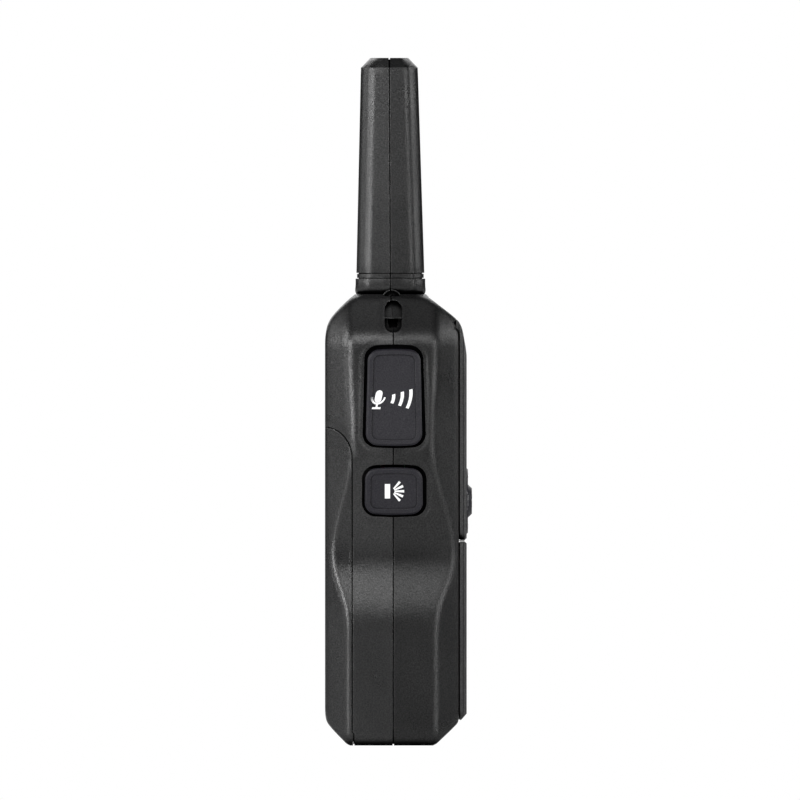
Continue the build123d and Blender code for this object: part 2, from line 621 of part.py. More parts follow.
with BuildPart() as face_panel:
    panel_blank(UPPER_PANEL, PANEL_TOP_CORNER)
    chamfer(face_edges(face_panel), length=0.45)
    trim_panel(upper_fall.sketch)
    lens_low, lens_high = LENS["z"]
    rounded_plate(LENS["half"] + 0.1, (lens_low - 0.1, lens_high + 0.1), 2.1, -18, -15.5, mode=Mode.SUBTRACT)
    rounded_plate(WINDOW["half"], WINDOW["z"], 1.0, -18, -14, mode=Mode.SUBTRACT)
    key_holes(-18, -14)
save(face_panel, "face_panel")

with BuildPart() as speaker_grille:
    panel_blank(LOWER_PANEL, PANEL_CORNER)
    chamfer(face_edges(speaker_grille), length=0.45)
    trim_panel(lower_fall.sketch)
    with BuildSketch(front_plane(-14)):
        for row in range(-3, 4):
            height = 4.1 * row
            with Locations((0, SPEAKER_Z + height)):
                SlotOverall(2 * sqrt((GRILLE_RADIUS - 0.8) ** 2 - height**2), 1.9)
        with Locations(MIC):
            Circle(0.8)
    extrude(amount=4, mode=Mode.SUBTRACT)
save(speaker_grille, "speaker_grille")

with BuildPart() as display_lens:
    rounded_plate(LENS["half"], LENS["z"], 2.0, -16.6, -15.55)
    chamfer(face_edges(display_lens), length=0.25)
save(display_lens, "display_lens")

with BuildPart() as lcd_glass:
    block((-14.2, 14.2), (-12.8, -11.7), (71.7, 91.5))
save(lcd_glass, "lcd_glass")

with BuildPart() as lcd_backlight:
    block((-14.0, 14.0), (-11.6, BOARD_Y[0] - 0.05), (71.9, 91.3))
    chamfer(lcd_backlight.edges().filter_by(Axis.Y), length=0.6)
save(lcd_backlight, "lcd_backlight")


# --- Keys on the front -----------------------------------------------------------------------------------
KEY_BACK = -12.2
FLANGE_FACE = -12.8
STEM_END = MAT_Y[0] - KEY_TRAVEL - 0.05
STEM_PLACE = 6.1  # distance of a pad key's stem from the pad's centre


def pad_sector(angle, outer, near, far):
    """A quarter of the round pad that faces the given angle, between depths near and far."""
    def towards(direction, reach):
        return Vector(cos(radians(direction)), sin(radians(direction))) * reach

    start = towards(angle, PAD_GAP)
    arms = [start + towards(angle + turn, 20) for turn in (-45, 45)]
    with BuildSketch(front_plane(far)) as sector:
        with Locations((0, PAD_Z)):
            Circle(outer)
            Circle(CENTRE_RADIUS + PAD_GAP, mode=Mode.SUBTRACT)
        with BuildLine():
            Polyline(*[(p.X, p.Y + PAD_Z) for p in (start, arms[0], arms[1])], close=True)
        make_face(mode=Mode.INTERSECT)
    extrude(sector.sketch, amount=far - near)


for label, angle in (("up_key", 90), ("down_key", 270), ("menu_key", 180), ("call_key", 0)):
    with BuildPart() as pad_key:
        pad_sector(angle, PAD_RADIUS, KEY_FACE, KEY_BACK)
        chamfer(face_edges(pad_key), length=0.35)
        pad_sector(angle, PAD_RADIUS + 0.9, FLANGE_FACE, KEY_BACK)
        stem = (STEM_PLACE * cos(radians(angle)), PAD_Z + STEM_PLACE * sin(radians(angle)))
        rod("y", stem, 1.0, KEY_BACK - 0.2, STEM_END)
    save(pad_key, label)

with BuildPart() as centre_key:
    rod("y", (0, PAD_Z), CENTRE_RADIUS, CENTRE_FACE, -11.6)
    chamfer(face_edges(centre_key), length=0.9)
    rod("y", (0, PAD_Z), CENTRE_RADIUS + 0.9, -11.6, -11.1)
    rod("y", (0, PAD_Z), 1.0, -11.2, STEM_END)
save(centre_key, "centre_key")

for label, side in (("power_key", -1), ("scan_key", 1)):
    x, width, height = SIDE_PILL
    with BuildPart() as outer_key:
        pill(side * x, width, height, KEY_FACE, KEY_BACK)
        chamfer(face_edges(outer_key), length=0.35)
        pill(side * x, width + 1.8, height + 1.8, FLANGE_FACE, KEY_BACK)
        rod("y", (side * x, PAD_Z), 1.0, KEY_BACK - 0.2, STEM_END)
    save(outer_key, label)

key_places = [(0, PAD_Z), (-SIDE_PILL[0], PAD_Z), (SIDE_PILL[0], PAD_Z)]
for angle in (0, 90, 180, 270):
    key_places.append((STEM_PLACE * cos(radians(angle)), PAD_Z + STEM_PLACE * sin(radians(angle))))

with BuildPart() as keypad_mat:
    rounded_plate(21.0, (47.6, 67.4), 1.5, *MAT_Y)
    for place in BOARD_SCREWS:
        rod("y", place, 2.5, -12, -7, mode=Mode.SUBTRACT)
save(keypad_mat, "keypad_mat")

with BuildPart() as key_domes:
    for place in key_places:
        rod("y", place, 1.9, BOARD_Y[0] - 0.3, BOARD_Y[0])
        rod("y", place, 1.2, BOARD_Y[0] - 0.55, BOARD_Y[0] - 0.3)
save(key_domes, "key_domes")


# --- Side keys -------------------------------------------------------------------------------------------
def key_envelope(key, sink=0.0):
    """The slanted slice of space between a side key's outer face, sunk by sink, and its root."""
    low, high = key["z"]
    x_low, x_high = key["outer"]
    slope = (x_high - x_low) / (high - low)
    with BuildPart() as slice_:
        with BuildSketch(Plane.XZ.offset(-20)):
            with BuildLine():
                Polyline((-key["root"], low - 5), (sink - x_low + 5 * slope, low - 5),
                         (sink - x_high - 5 * slope, high + 5), (-key["root"], high + 5), close=True)
            make_face()
        extrude(amount=40)
    return slice_.part


def side_key_recess(key):
    """The shallow recess inside a side key's rim."""
    with BuildPart() as recess:
        extrude(side_key_outline(key, -SIDE_KEY_RIM), amount=12)
        add(key_envelope(key, 0.3), mode=Mode.SUBTRACT)
        block((-27, -20), (-20, 20), (50, 100), mode=Mode.SUBTRACT)
    return recess.part


def side_key_cap(key):
    """The cap of a side key, with a bevelled rim around a shallow recess."""
    recess = side_key_recess(key)
    with BuildPart() as cap:
        extrude(side_key_outline(key), amount=12)
        add(key_envelope(key), mode=Mode.INTERSECT)
        chamfer(cap.faces().sort_by(Axis.X)[0].edges(), length=0.4)
        add(recess, mode=Mode.SUBTRACT)
    return cap.part


def side_key_flange(opening, inner_x, back_y):
    """The flange that keeps a side key in: it lies against the inside of the wall, ahead of back_y."""
    with BuildPart() as flange:
        extrude(side_key_outline(opening, SIDE_KEY_LIP, OPENING_CORNER), amount=34 - inner_x)
        block((-32, 0), (-20, back_y), (50, 100), mode=Mode.INTERSECT)
        add(clear_body, mode=Mode.INTERSECT)
    return flange.part


with BuildPart() as ptt_button:
    add(side_key_cap(PTT))
    add(side_key_flange(PTT_OPENING, PTT["root"], 20))
    rod("x", (SWITCH_Y, PTT_SWITCH_Z), 1.2, -PTT["root"] - 0.5, -23.9)
save(ptt_button, "ptt_button")

with BuildPart() as light_button:
    add(side_key_cap(TORCH))
    add(side_key_flange(TORCH_OPENING, 23.75, -2.2))
save(light_button, "light_button")

for label, z in (("ptt_switch", PTT_SWITCH_Z), ("light_switch", TORCH_SWITCH_Z)):
    with BuildPart() as switch:
        block((SWITCH_X, -22.0), (SWITCH_Y - 1.75, SWITCH_Y + 1.75), (z - 1.75, z + 1.75))
        rod("x", (SWITCH_Y, z), 0.8, SWITCH_X - 0.1, SWITCH_X)
    save(switch, label)

with BuildPart() as side_switch_board:
    block((-22.0, -21.4), (-6.6, -2.0), (55.0, 90.0))
save(side_switch_board, "side_switch_board")


# --- Boards and what sits on them --------------------------------------------------------------------------
with BuildPart() as main_board:
    block((-21.2, 21.2), BOARD_Y, BOARD_Z)
    chamfer(main_board.edges().filter_by(Axis.Y), length=1.5)
    for place in BOARD_SCREWS:
        rod("y", place, 1.0, -10, -5, mode=Mode.SUBTRACT)
save(main_board, "main_board")

with BuildPart() as board_screws:
    for place in BOARD_SCREWS:
        rod("y", place, 0.8, -12.2, BOARD_Y[1])
        rod("y", place, 1.6, BOARD_Y[1], BOARD_Y[1] + 1.2)
        rod("y", place, 0.55, BOARD_Y[1] + 0.6, BOARD_Y[1] + 1.2, mode=Mode.SUBTRACT)
save(board_screws, "board_screws")

with BuildPart() as shield_can:
    block((-12, 12), (BOARD_Y[1], BOARD_Y[1] + 2.6), (66, 86))
    fillet(shield_can.faces().sort_by(Axis.Y)[-1].edges(), radius=0.5)
    block((-11.7, 11.7), (BOARD_Y[1], BOARD_Y[1] + 2.3), (66.3, 85.7), mode=Mode.SUBTRACT)
save(shield_can, "shield_can")

with BuildPart() as jack_socket:
    block((15.5, 25.6), (BOARD_Y[1], 2.8), (JACK_Z - 3.6, JACK_Z + 3.6))
    rod("x", (SOCKET_Y, JACK_Z), 3.0, 25.5, 26.95)
    chamfer(jack_socket.edges().filter_by(Axis.X).group_by(Axis.Y)[-1], length=0.5)
    rod("x", (SOCKET_Y, JACK_Z), JACK_BORE, 16.5, 27, mode=Mode.SUBTRACT)
save(jack_socket, "jack_socket")

with BuildPart() as charge_socket:
    block((17.5, 25.6), (BOARD_Y[1], 2.8), (CHARGE_Z - 4.4, CHARGE_Z + 4.4))
    block((25.5, 26.95), (SOCKET_Y - 1.7, SOCKET_Y + 1.7), (CHARGE_Z - 3.8, CHARGE_Z + 3.8))
    block((21.5, 27), (SOCKET_Y - 1.2, SOCKET_Y + 1.2), (CHARGE_Z - 3.3, CHARGE_Z + 3.3), mode=Mode.SUBTRACT)
    block((21.4, 26.5), (SOCKET_Y - 0.35, SOCKET_Y + 0.35), (CHARGE_Z - 2.3, CHARGE_Z + 2.3))
save(charge_socket, "charge_socket")

with BuildPart() as jack_cover:
    add(outer_body)
    block((FLAP_FLOOR, 32), FLAP_Y, FLAP_Z, mode=Mode.INTERSECT)
    block((27.7, 32), (FLAP_Y[1] - 1.0, FLAP_Y[1]), (JACK_Z - 7, JACK_Z - 2), mode=Mode.SUBTRACT)
save(jack_cover, "jack_cover")


# --- Antenna inside and torch --------------------------------------------------------------------
with BuildPart() as antenna_core:
    rod("z", (ANTENNA_X, CORE_Y), 2.6, 103.6, 156)
    chamfer(antenna_core.edges().filter_by(GeomType.CIRCLE), length=0.4)
save(antenna_core, "antenna_core")

with BuildPart() as antenna_coil:
    with BuildLine():
        turns = Helix(pitch=3.2, height=46, radius=3.15, center=(ANTENNA_X, CORE_Y, 106))
    with BuildSketch(Plane(origin=turns @ 0, z_dir=turns % 0)):
        Circle(0.4)
    sweep(path=turns, is_frenet=True)
save(antenna_coil, "antenna_coil")

with BuildPart() as antenna_contact:
    with BuildSketch(Plane.YZ.offset(-9.2)):
        with BuildLine():
            Polyline((1.5, 103), (1.5, 97), (-6.75, 92.4), (-6.75, 89.4))
        trace(line_width=0.4)
    extrude(amount=1.4)
    block((-13.6, -7.8), (0.6, 2.4), (102.9, 103.4))
save(antenna_contact, "antenna_contact")

with BuildPart() as torch_lens:
    rod("z", (TORCH_X, SEAM), 4.0, 102.6, 105)
    rod("z", (TORCH_X, SEAM), 4.6, 104.72, 105.85)
    chamfer(torch_lens.faces().sort_by(Axis.Z)[-1].edges(), length=0.3)
save(torch_lens, "torch_lens")

with BuildPart() as torch_led:
    rod("z", (TORCH_X, SEAM), 2.9, 97.8, 98.6)
    rod("z", (TORCH_X, SEAM), 2.5, 98.5, 99.8)
    with Locations((TORCH_X, SEAM, 99.8)):
        Sphere(2.5)
    block((TORCH_X - 2.4, TORCH_X + 2.4), (SEAM - 3, SEAM + 3), (96.9, 97.8))
save(torch_led, "torch_led")


def wire(points, radius):
    """A round wire through the points, with eased corners."""
    with BuildPart() as lead:
        with BuildLine() as path:
            FilletPolyline(*points, radius=1.0)
        with BuildSketch(Plane(origin=path.line @ 0, z_dir=path.line % 0)):
            Circle(radius)
        sweep(path=path.line)
    return lead.part


with BuildPart() as torch_leads:
    for x in (TORCH_X - 1.2, TORCH_X + 1.2):
        add(wire([(x, SEAM, 96.85), (x, SEAM, 94.6), (x, -6.5, 91.6), (x, -6.5, 88.5)], 0.4))
save(torch_leads, "torch_leads")


# --- Speaker and microphone ----------------------------------------------------------------------
def turned_about_speaker(points):
    """Revolves a profile of (depth, radius) points about the speaker's axis."""
    with BuildSketch(Plane.YZ) as profile:
        with BuildLine():
            Polyline(*[(y, SPEAKER_Z + radius) for y, radius in points], close=True)
        make_face()
    revolve(profile.sketch, axis=Axis((0, 0, SPEAKER_Z), (0, 1, 0)))


with BuildPart() as grille_cloth:
    rod("y", (0, SPEAKER_Z), GRILLE_RADIUS - 0.1, -14.2, -13.9)
save(grille_cloth, "grille_cloth")

with BuildPart() as speaker_gasket:
    turned_about_speaker([(-12.88, 16.2), (-12.88, 18.2), (-12.4, 18.2), (-12.4, 16.2)])
save(speaker_gasket, "speaker_gasket")

with BuildPart() as speaker_frame:
    turned_about_speaker([(-12.4, 16.4), (-12.4, 18.2), (-11.6, 18.2), (-11.6, 17.0), (-7.4, 9.6),
                          (-7.4, 7.6), (-8.0, 7.6), (-8.0, 9.2), (-11.9, 16.4)])
    for turn in range(4):
        with Locations(Plane(origin=(0, -9.6, SPEAKER_Z), z_dir=(cos(radians(90 * turn + 45)), 0,
                                                                 sin(radians(90 * turn + 45))))):
            Cylinder(1.4, 20, align=(Align.CENTER, Align.CENTER, Align.MIN), mode=Mode.SUBTRACT)
save(speaker_frame, "speaker_frame")

with BuildPart() as speaker_cone:
    turned_about_speaker([(-12.1, 16.1), (-11.8, 16.1), (-8.6, 5.5), (-9.5, 3), (-9.9, 0), (-10.2, 0),
                          (-9.8, 3.2), (-9.0, 5.7)])
save(speaker_cone, "speaker_cone")

with BuildPart() as speaker_magnet:
    rod("y", (0, SPEAKER_Z), 8.0, -7.35, -4.4)
    chamfer(speaker_magnet.edges().filter_by(GeomType.CIRCLE).sort_by(Axis.Y)[-1], length=0.5)
save(speaker_magnet, "speaker_magnet")

with BuildPart() as speaker_leads:
    for x in (-3, 3):
        add(wire([(x, -11.0, 44.0), (x, -9.4, 45.8), (x, -6.3, 46.2), (x, -6.3, 50)], 0.45))
save(speaker_leads, "speaker_leads")

with BuildPart() as mic_boot:
    rod("y", MIC, 3.1, -12.85, -9.4)
    rod("y", MIC, 2.05, -12.05, -9.0, mode=Mode.SUBTRACT)
    rod("y", MIC, 0.8, -13, -12, mode=Mode.SUBTRACT)
save(mic_boot, "mic_boot")

with BuildPart() as microphone:
    rod("y", MIC, 2.0, -12.0, -9.8)
    rod("y", MIC, 0.5, -12.1, -11.5, mode=Mode.SUBTRACT)
save(microphone, "microphone")


# --- Batteries and their contacts ----------------------------------------------------------------
CAP_HEIGHT = 1.1
PLATE = 0.4
CELL_TURNED = {-1: False, 0: True, 1: False}  # the middle cell stands on its positive end


def cell_end(column, positive):
    """Height of one end of a cell and the direction out of it."""
    up = positive != CELL_TURNED[column]
    return (CELL_HIGH, 1) if up else (CELL_LOW, -1)


def bay_end(way):
    return BAY_HIGH - 0.05 if way > 0 else BAY_LOW + 0.05


with BuildPart() as battery_cells:
    for column in CELL_TURNED:
        rod("z", (column * CELL_PITCH, CELL_Y), CELL_RADIUS, CELL_LOW, CELL_HIGH)
    fillet(battery_cells.edges().filter_by(GeomType.CIRCLE), radius=0.5)
save(battery_cells, "battery_cells")

with BuildPart() as cell_caps:
    for column in CELL_TURNED:
        z, way = cell_end(column, positive=True)
        rod("z", (column * CELL_PITCH, CELL_Y), 2.7, *sorted((z, z + way * CAP_HEIGHT)))
save(cell_caps, "cell_caps")

with BuildPart() as contact_plates:
    for column in CELL_TURNED:
        x = column * CELL_PITCH
        for positive in (True, False):
            z, way = cell_end(column, positive)
            end = bay_end(way)
            block((x - 5.5, x + 5.5), (CELL_Y - 5, CELL_Y + 5), sorted((end, end - way * PLATE)))
            if positive:
                rod("z", (x, CELL_Y), 3.0, *sorted((end - way * PLATE, z + way * (CAP_HEIGHT + 0.03))))
save(contact_plates, "contact_plates")

SPRING_WIRE = 0.3
with BuildPart() as contact_springs:
    for column in CELL_TURNED:
        z, way = cell_end(column, positive=False)
        plate_face = bay_end(way) - way * PLATE
        low, high = sorted((z + way * (SPRING_WIRE + 0.03), plate_face - way * (SPRING_WIRE + 0.03)))
        with BuildLine():
            coil = Helix(pitch=0.75, height=high - low, radius=2.6, center=(column * CELL_PITCH, CELL_Y, low))
        with BuildSketch(Plane(origin=coil @ 0, z_dir=coil % 0)):
            Circle(SPRING_WIRE)
        sweep(path=coil, is_frenet=True)
save(contact_springs, "contact_springs")

with BuildPart() as battery_leads:
    for x in (-6, 6):
        route = [(3.0, BAY_HIGH - 0.3), (3.0, 68.5), (-3.4, 70.0), (-3.4, 88.0), (-6.6, 88.0)]
        add(wire([(x, y, z) for y, z in route], 0.5))
save(battery_leads, "battery_leads")

with BuildPart() as housing_screws:
    for place in HOUSING_SCREWS:
        rod("y", place, 1.1, -8.0, SCREW_SEAT)
        rod("y", place, 2.0, SCREW_SEAT, SCREW_SEAT + 1.4)
        rod("y", place, 0.7, SCREW_SEAT + 0.6, SCREW_SEAT + 1.4, mode=Mode.SUBTRACT)
save(housing_screws, "housing_screws")
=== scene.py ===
import json
import math

import bpy
import bmesh
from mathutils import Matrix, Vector


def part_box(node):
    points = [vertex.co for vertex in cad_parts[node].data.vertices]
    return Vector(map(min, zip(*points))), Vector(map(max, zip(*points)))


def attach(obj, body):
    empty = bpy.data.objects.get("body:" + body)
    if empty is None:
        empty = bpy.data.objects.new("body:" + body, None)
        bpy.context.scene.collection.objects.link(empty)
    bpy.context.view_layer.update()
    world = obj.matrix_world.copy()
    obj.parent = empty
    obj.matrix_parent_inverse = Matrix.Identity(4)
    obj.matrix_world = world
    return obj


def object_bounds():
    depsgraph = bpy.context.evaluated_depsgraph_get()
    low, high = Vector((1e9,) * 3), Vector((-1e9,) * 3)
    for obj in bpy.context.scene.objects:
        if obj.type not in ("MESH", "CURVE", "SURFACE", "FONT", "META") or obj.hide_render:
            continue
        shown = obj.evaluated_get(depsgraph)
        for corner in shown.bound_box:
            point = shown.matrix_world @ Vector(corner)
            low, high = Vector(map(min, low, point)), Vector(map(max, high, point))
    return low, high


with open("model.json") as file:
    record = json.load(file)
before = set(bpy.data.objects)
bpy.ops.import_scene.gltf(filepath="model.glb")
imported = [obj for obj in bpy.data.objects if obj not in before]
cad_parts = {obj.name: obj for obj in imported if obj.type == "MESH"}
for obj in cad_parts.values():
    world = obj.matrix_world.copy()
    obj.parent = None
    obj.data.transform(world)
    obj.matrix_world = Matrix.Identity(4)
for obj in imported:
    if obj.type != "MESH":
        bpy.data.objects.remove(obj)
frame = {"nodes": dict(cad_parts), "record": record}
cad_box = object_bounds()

MM = 0.001
SEAM_Y = 0.57 * MM  # the seam between the two housings
COVER_LINE_Y = 10.4 * MM  # the battery cover lies behind this plane
ARCH_FOOT_Z = 68 * MM  # where the arch at the cover's top begins


# --- Node material helpers -----------------------------------------------------------------------
class Nodes:
    """A node tree being written: add() makes a node, and values or other nodes' outputs go in as inputs.

    An input is given by its name, with _ for a space, or as i0, i1 and so on by its place in the node.
    """

    def __init__(self, name):
        self.material = bpy.data.materials.new(name)
        self.material.use_nodes = True
        self.tree = self.material.node_tree
        self.tree.nodes.clear()
        self.output = self.tree.nodes.new("ShaderNodeOutputMaterial")
        self.coordinates = self.tree.nodes.new("ShaderNodeTexCoord").outputs["Object"]

    def put(self, socket, value):
        if isinstance(value, bpy.types.NodeSocket):
            self.tree.links.new(value, socket)
        elif value is not None:
            socket.default_value = value

    def add(self, kind, result=0, settings=None, **inputs):
        node = self.tree.nodes.new(kind)
        for key, value in (settings or {}).items():
            setattr(node, key, value)
        for key, value in inputs.items():
            name = key.replace("_", " ")
            numbered = key[0] == "i" and key[1:].isdigit()
            self.put(node.inputs[int(key[1:]) if numbered else name], value)
        return node.outputs[result]

    def math(self, operation, a, b=None):
        return self.add("ShaderNodeMath", 0, {"operation": operation}, i0=a, i1=b)

    def noise(self, scale, detail=2.0, roughness=0.5, vector=None):
        return self.add("ShaderNodeTexNoise", "Fac", None, Vector=vector or self.coordinates,
                        Scale=scale, Detail=detail, Roughness=roughness)

    def cells(self, scale, vector=None):
        return self.add("ShaderNodeTexVoronoi", "Distance", {"feature": "SMOOTH_F1"},
                        Vector=vector or self.coordinates, Scale=scale, Smoothness=0.6)

    def spread(self, value, low, high, out_low=0.0, out_high=1.0):
        return self.add("ShaderNodeMapRange", 0, None, Value=value, From_Min=low, From_Max=high,
                        To_Min=out_low, To_Max=out_high)

    def mix(self, factor, a, b):
        node = self.tree.nodes.new("ShaderNodeMix")
        node.data_type = "RGBA"
        self.put(node.inputs[0], factor)
        self.put(node.inputs[6], a)
        self.put(node.inputs[7], b)
        return node.outputs[2]

    def bump(self, height, distance, strength=1.0, normal=None):
        return self.add("ShaderNodeBump", 0, None, Height=height, Distance=distance, Strength=strength,
                        Normal=normal)

    def surface(self, **inputs):
        shader = self.add("ShaderNodeBsdfPrincipled", 0, None, **inputs)
        self.tree.links.new(shader, self.output.inputs["Surface"])
        return self.material


SHARP_EDGE = 0.18 * MM  # how far a sharp moulded edge is eased
PAINTED_SHADE_REACH = 2.2 * MM  # walls closer than this darken a surface with painted shade


def grey(value, blue=1.0):
    return (value, value, value * blue, 1.0)


def rounded_normal(nodes, radius=SHARP_EDGE):
    """A normal that is eased over sharp moulded edges, and how much of an edge it is."""
    eased = nodes.add("ShaderNodeBevel", 0, {"samples": 6}, Radius=radius)
    flat = nodes.tree.nodes.new("ShaderNodeNewGeometry").outputs["Normal"]
    dot = nodes.add("ShaderNodeVectorMath", "Value", {"operation": "DOT_PRODUCT"}, i0=eased, i1=flat)
    edge = nodes.spread(dot, 0.995, 0.90)
    return eased, edge


def painted_crevice_shade(nodes):
    """Painted shade: 1 on open faces, falling towards 0 in joint lines and at the foot of the key
    openings.
    """
    open_sky = nodes.add("ShaderNodeAmbientOcclusion", "AO", {"samples": 8}, Distance=PAINTED_SHADE_REACH)
    return nodes.spread(open_sky, 0.32, 0.85, 0.02, 1.0)


def clear_of_seams(nodes):
    """1 on the housings, and 0 next to the seam between them and next to the battery cover."""
    across = nodes.add("ShaderNodeSeparateXYZ", "Y", None, Vector=nodes.coordinates)
    height = nodes.add("ShaderNodeSeparateXYZ", "Z", None, Vector=nodes.coordinates)
    from_seam = nodes.math("ABSOLUTE", nodes.math("SUBTRACT", across, SEAM_Y))
    beside_cover = nodes.math("MULTIPLY", nodes.math("GREATER_THAN", across, COVER_LINE_Y - 2 * MM),
                              nodes.math("LESS_THAN", height, ARCH_FOOT_Z))
    return nodes.math("MULTIPLY", nodes.spread(from_seam, 1.9 * MM, 2.6 * MM),
                      nodes.math("SUBTRACT", 1.0, beside_cover))


def below_arch(nodes):
    """1 on the battery cover, and 0 on the arch at its top."""
    height = nodes.add("ShaderNodeSeparateXYZ", "Z", None, Vector=nodes.coordinates)
    return nodes.spread(height, ARCH_FOOT_Z, ARCH_FOOT_Z - 3 * MM)


def soft_creases(nodes, eased, radius, where):
    """Eases the shallow creases between moulded faces more broadly than the sharp edges."""
    broad = nodes.add("ShaderNodeBevel", 0, {"samples": 8}, Radius=radius)
    flat = nodes.tree.nodes.new("ShaderNodeNewGeometry").outputs["Normal"]
    dot = nodes.add("ShaderNodeVectorMath", "Value", {"operation": "DOT_PRODUCT"}, i0=broad, i1=flat)
    node = nodes.tree.nodes.new("ShaderNodeMix")
    node.data_type = "VECTOR"
    nodes.put(node.inputs[0], nodes.math("MULTIPLY", nodes.spread(dot, 0.935, 0.96), where(nodes)))
    nodes.put(node.inputs[4], eased)
    nodes.put(node.inputs[5], broad)
    return nodes.add("ShaderNodeVectorMath", "Vector", {"operation": "NORMALIZE"}, i0=node.outputs[1])


def moulded_plastic(name, colour, worn, roughness, grain, grain_depth, specular=0.5, crease=None,
                    where=None):
    """Spark-eroded plastic: pebbled grain, uneven sheen, fine dust, edges polished by handling, and
    painted shade in crevices.
    """
    n = Nodes(name)
    eased, edge = rounded_normal(n)
    if crease:
        eased = soft_creases(n, eased, crease, where)
    pebbles = n.cells(grain)
    fine = n.noise(grain * 1.7, 3.0, 0.65)
    height = n.math("ADD", n.math("MULTIPLY", pebbles, 0.7), n.math("MULTIPLY", fine, 0.6))
    broad = n.noise(55, 3.0, 0.5)
    speckle = n.spread(n.noise(grain * 0.9, 2.0, 0.7), 0.58, 0.78)
    polish = n.math("MULTIPLY", edge, n.spread(n.noise(220, 4.0), 0.35, 0.7))
    base = n.mix(n.math("MULTIPLY", speckle, 0.5), colour, worn)
    base = n.mix(n.math("MULTIPLY", polish, 0.55), base, worn)
    rough = n.math("ADD", n.spread(broad, 0.3, 0.7, roughness - 0.05, roughness + 0.05),
                   n.math("MULTIPLY", fine, 0.08))
    rough = n.math("SUBTRACT", rough, n.math("MULTIPLY", polish, 0.1))
    sheen = n.spread(n.noise(grain * 1.3, 2.0, 0.6), 0.3, 0.7, specular * 0.68, specular * 1.32)
    sheen = n.math("ADD", sheen, n.math("MULTIPLY", polish, 0.4))
    # painted shade: colour drawn to near black and sheen lowered where the surface lies in a crevice,
    # joint line or key opening
    shade = painted_crevice_shade(n)
    base = n.mix(shade, grey(0.0003), base)
    normal = n.bump(height, grain_depth, 0.8, eased)
    return n.surface(Base_Color=base, Roughness=rough, Normal=normal,
                     Specular_IOR_Level=n.math("MULTIPLY", sheen, shade))


def metal(name, colour, roughness, stretch=(1.0, 1.0, 30.0)):
    """Drawn metal with fine brushing and a few stains."""
    n = Nodes(name)
    eased, _ = rounded_normal(n, 0.1 * MM)
    scaled = n.add("ShaderNodeMapping", 0, None, Vector=n.coordinates, Scale=stretch)
    brush = n.noise(900, 2.0, 0.6, scaled)
    stain = n.spread(n.noise(260, 4.0, 0.6), 0.45, 0.75)
    base = n.mix(n.math("MULTIPLY", stain, 0.35), colour, tuple(c * 0.6 for c in colour[:3]) + (1.0,))
    rough = n.spread(brush, 0.3, 0.7, roughness - 0.07, roughness + 0.09)
    return n.surface(Base_Color=base, Metallic=1.0, Roughness=rough,
                     Normal=n.bump(brush, 0.02 * MM, 0.5, eased))


def rubber(name, colour):
    """Soft rubber with a fine matt grain and some dust."""
    n = Nodes(name)
    eased, _ = rounded_normal(n, 0.25 * MM)
    fine = n.noise(3200, 4.0, 0.7)
    dust = n.spread(n.noise(140, 5.0, 0.6), 0.5, 0.8)
    base = n.mix(n.math("MULTIPLY", dust, 0.25), colour, grey(0.09))
    return n.surface(Base_Color=base, Roughness=n.spread(fine, 0.3, 0.7, 0.62, 0.78),
                     Normal=n.bump(fine, 0.03 * MM, 0.7, eased), Specular_IOR_Level=0.35)


def print_ink(name):
    """White pad printing: slightly uneven film, a hint of the grain below."""
    n = Nodes(name)
    film = n.noise(1500, 3.0, 0.6)
    base = n.mix(n.spread(film, 0.35, 0.75), (0.95, 0.95, 0.95, 1.0), (0.80, 0.80, 0.80, 1.0))
    return n.surface(Base_Color=base, Roughness=n.spread(film, 0.3, 0.7, 0.45, 0.6),
                     Normal=n.bump(film, 0.01 * MM, 0.5))


def circuit_board(name):
    """Green solder mask over raised tracks and the weave of the board."""
    n = Nodes(name)
    square_cells = {"feature": "DISTANCE_TO_EDGE", "distance": "MANHATTAN"}
    tracks = n.add("ShaderNodeTexVoronoi", "Distance", square_cells, Vector=n.coordinates, Scale=420)
    on_track = n.spread(tracks, 0.06, 0.09, 1.0, 0.0)
    weave = n.noise(1600, 2.0)
    base = n.mix(n.math("MULTIPLY", on_track, 0.7), (0.006, 0.05, 0.02, 1), (0.02, 0.14, 0.05, 1))
    base = n.mix(n.spread(weave, 0.4, 0.9, 0.0, 0.4), base, (0.01, 0.03, 0.012, 1))
    return n.surface(Base_Color=base, Roughness=n.spread(weave, 0.3, 0.7, 0.22, 0.34),
                     Normal=n.bump(on_track, 0.03 * MM, 0.6), Coat_Weight=0.4)


def clear_window(name):
    """A tinted clear window with faint smears."""
    n = Nodes(name)
    smear = n.noise(70, 4.0, 0.6)
    return n.surface(Base_Color=(0.02, 0.022, 0.025, 1), Roughness=n.spread(smear, 0.4, 0.8, 0.03, 0.12),
                     Alpha=0.38, Specular_IOR_Level=0.6, Coat_Weight=0.6,
                     Normal=n.bump(smear, 0.04 * MM, 0.15))


def torch_glass(name):
    """A clear lens with moulded rings."""
    n = Nodes(name)
    rings = n.add("ShaderNodeTexWave", "Fac", {"wave_type": "RINGS", "rings_direction": "Z"},
                  Vector=n.coordinates, Scale=160, Distortion=0.5)
    rough = n.spread(n.noise(90, 3.0), 0.3, 0.8, 0.04, 0.14)
    return n.surface(Base_Color=(0.75, 0.8, 0.82, 1), Roughness=rough, Alpha=0.45, Coat_Weight=0.5,
                     Normal=n.bump(rings, 0.05 * MM, 0.3))


def lcd(name):
    """The grey green glass of a display that is off."""
    n = Nodes(name)
    pixels = n.cells(2600)
    tone = n.noise(45, 2.0)
    base = n.mix(n.spread(tone, 0.3, 0.7), (0.20, 0.24, 0.17, 1), (0.27, 0.31, 0.22, 1))
    return n.surface(Base_Color=base, Roughness=n.spread(tone, 0.3, 0.7, 0.12, 0.2),
                     Normal=n.bump(pixels, 0.01 * MM, 0.3))


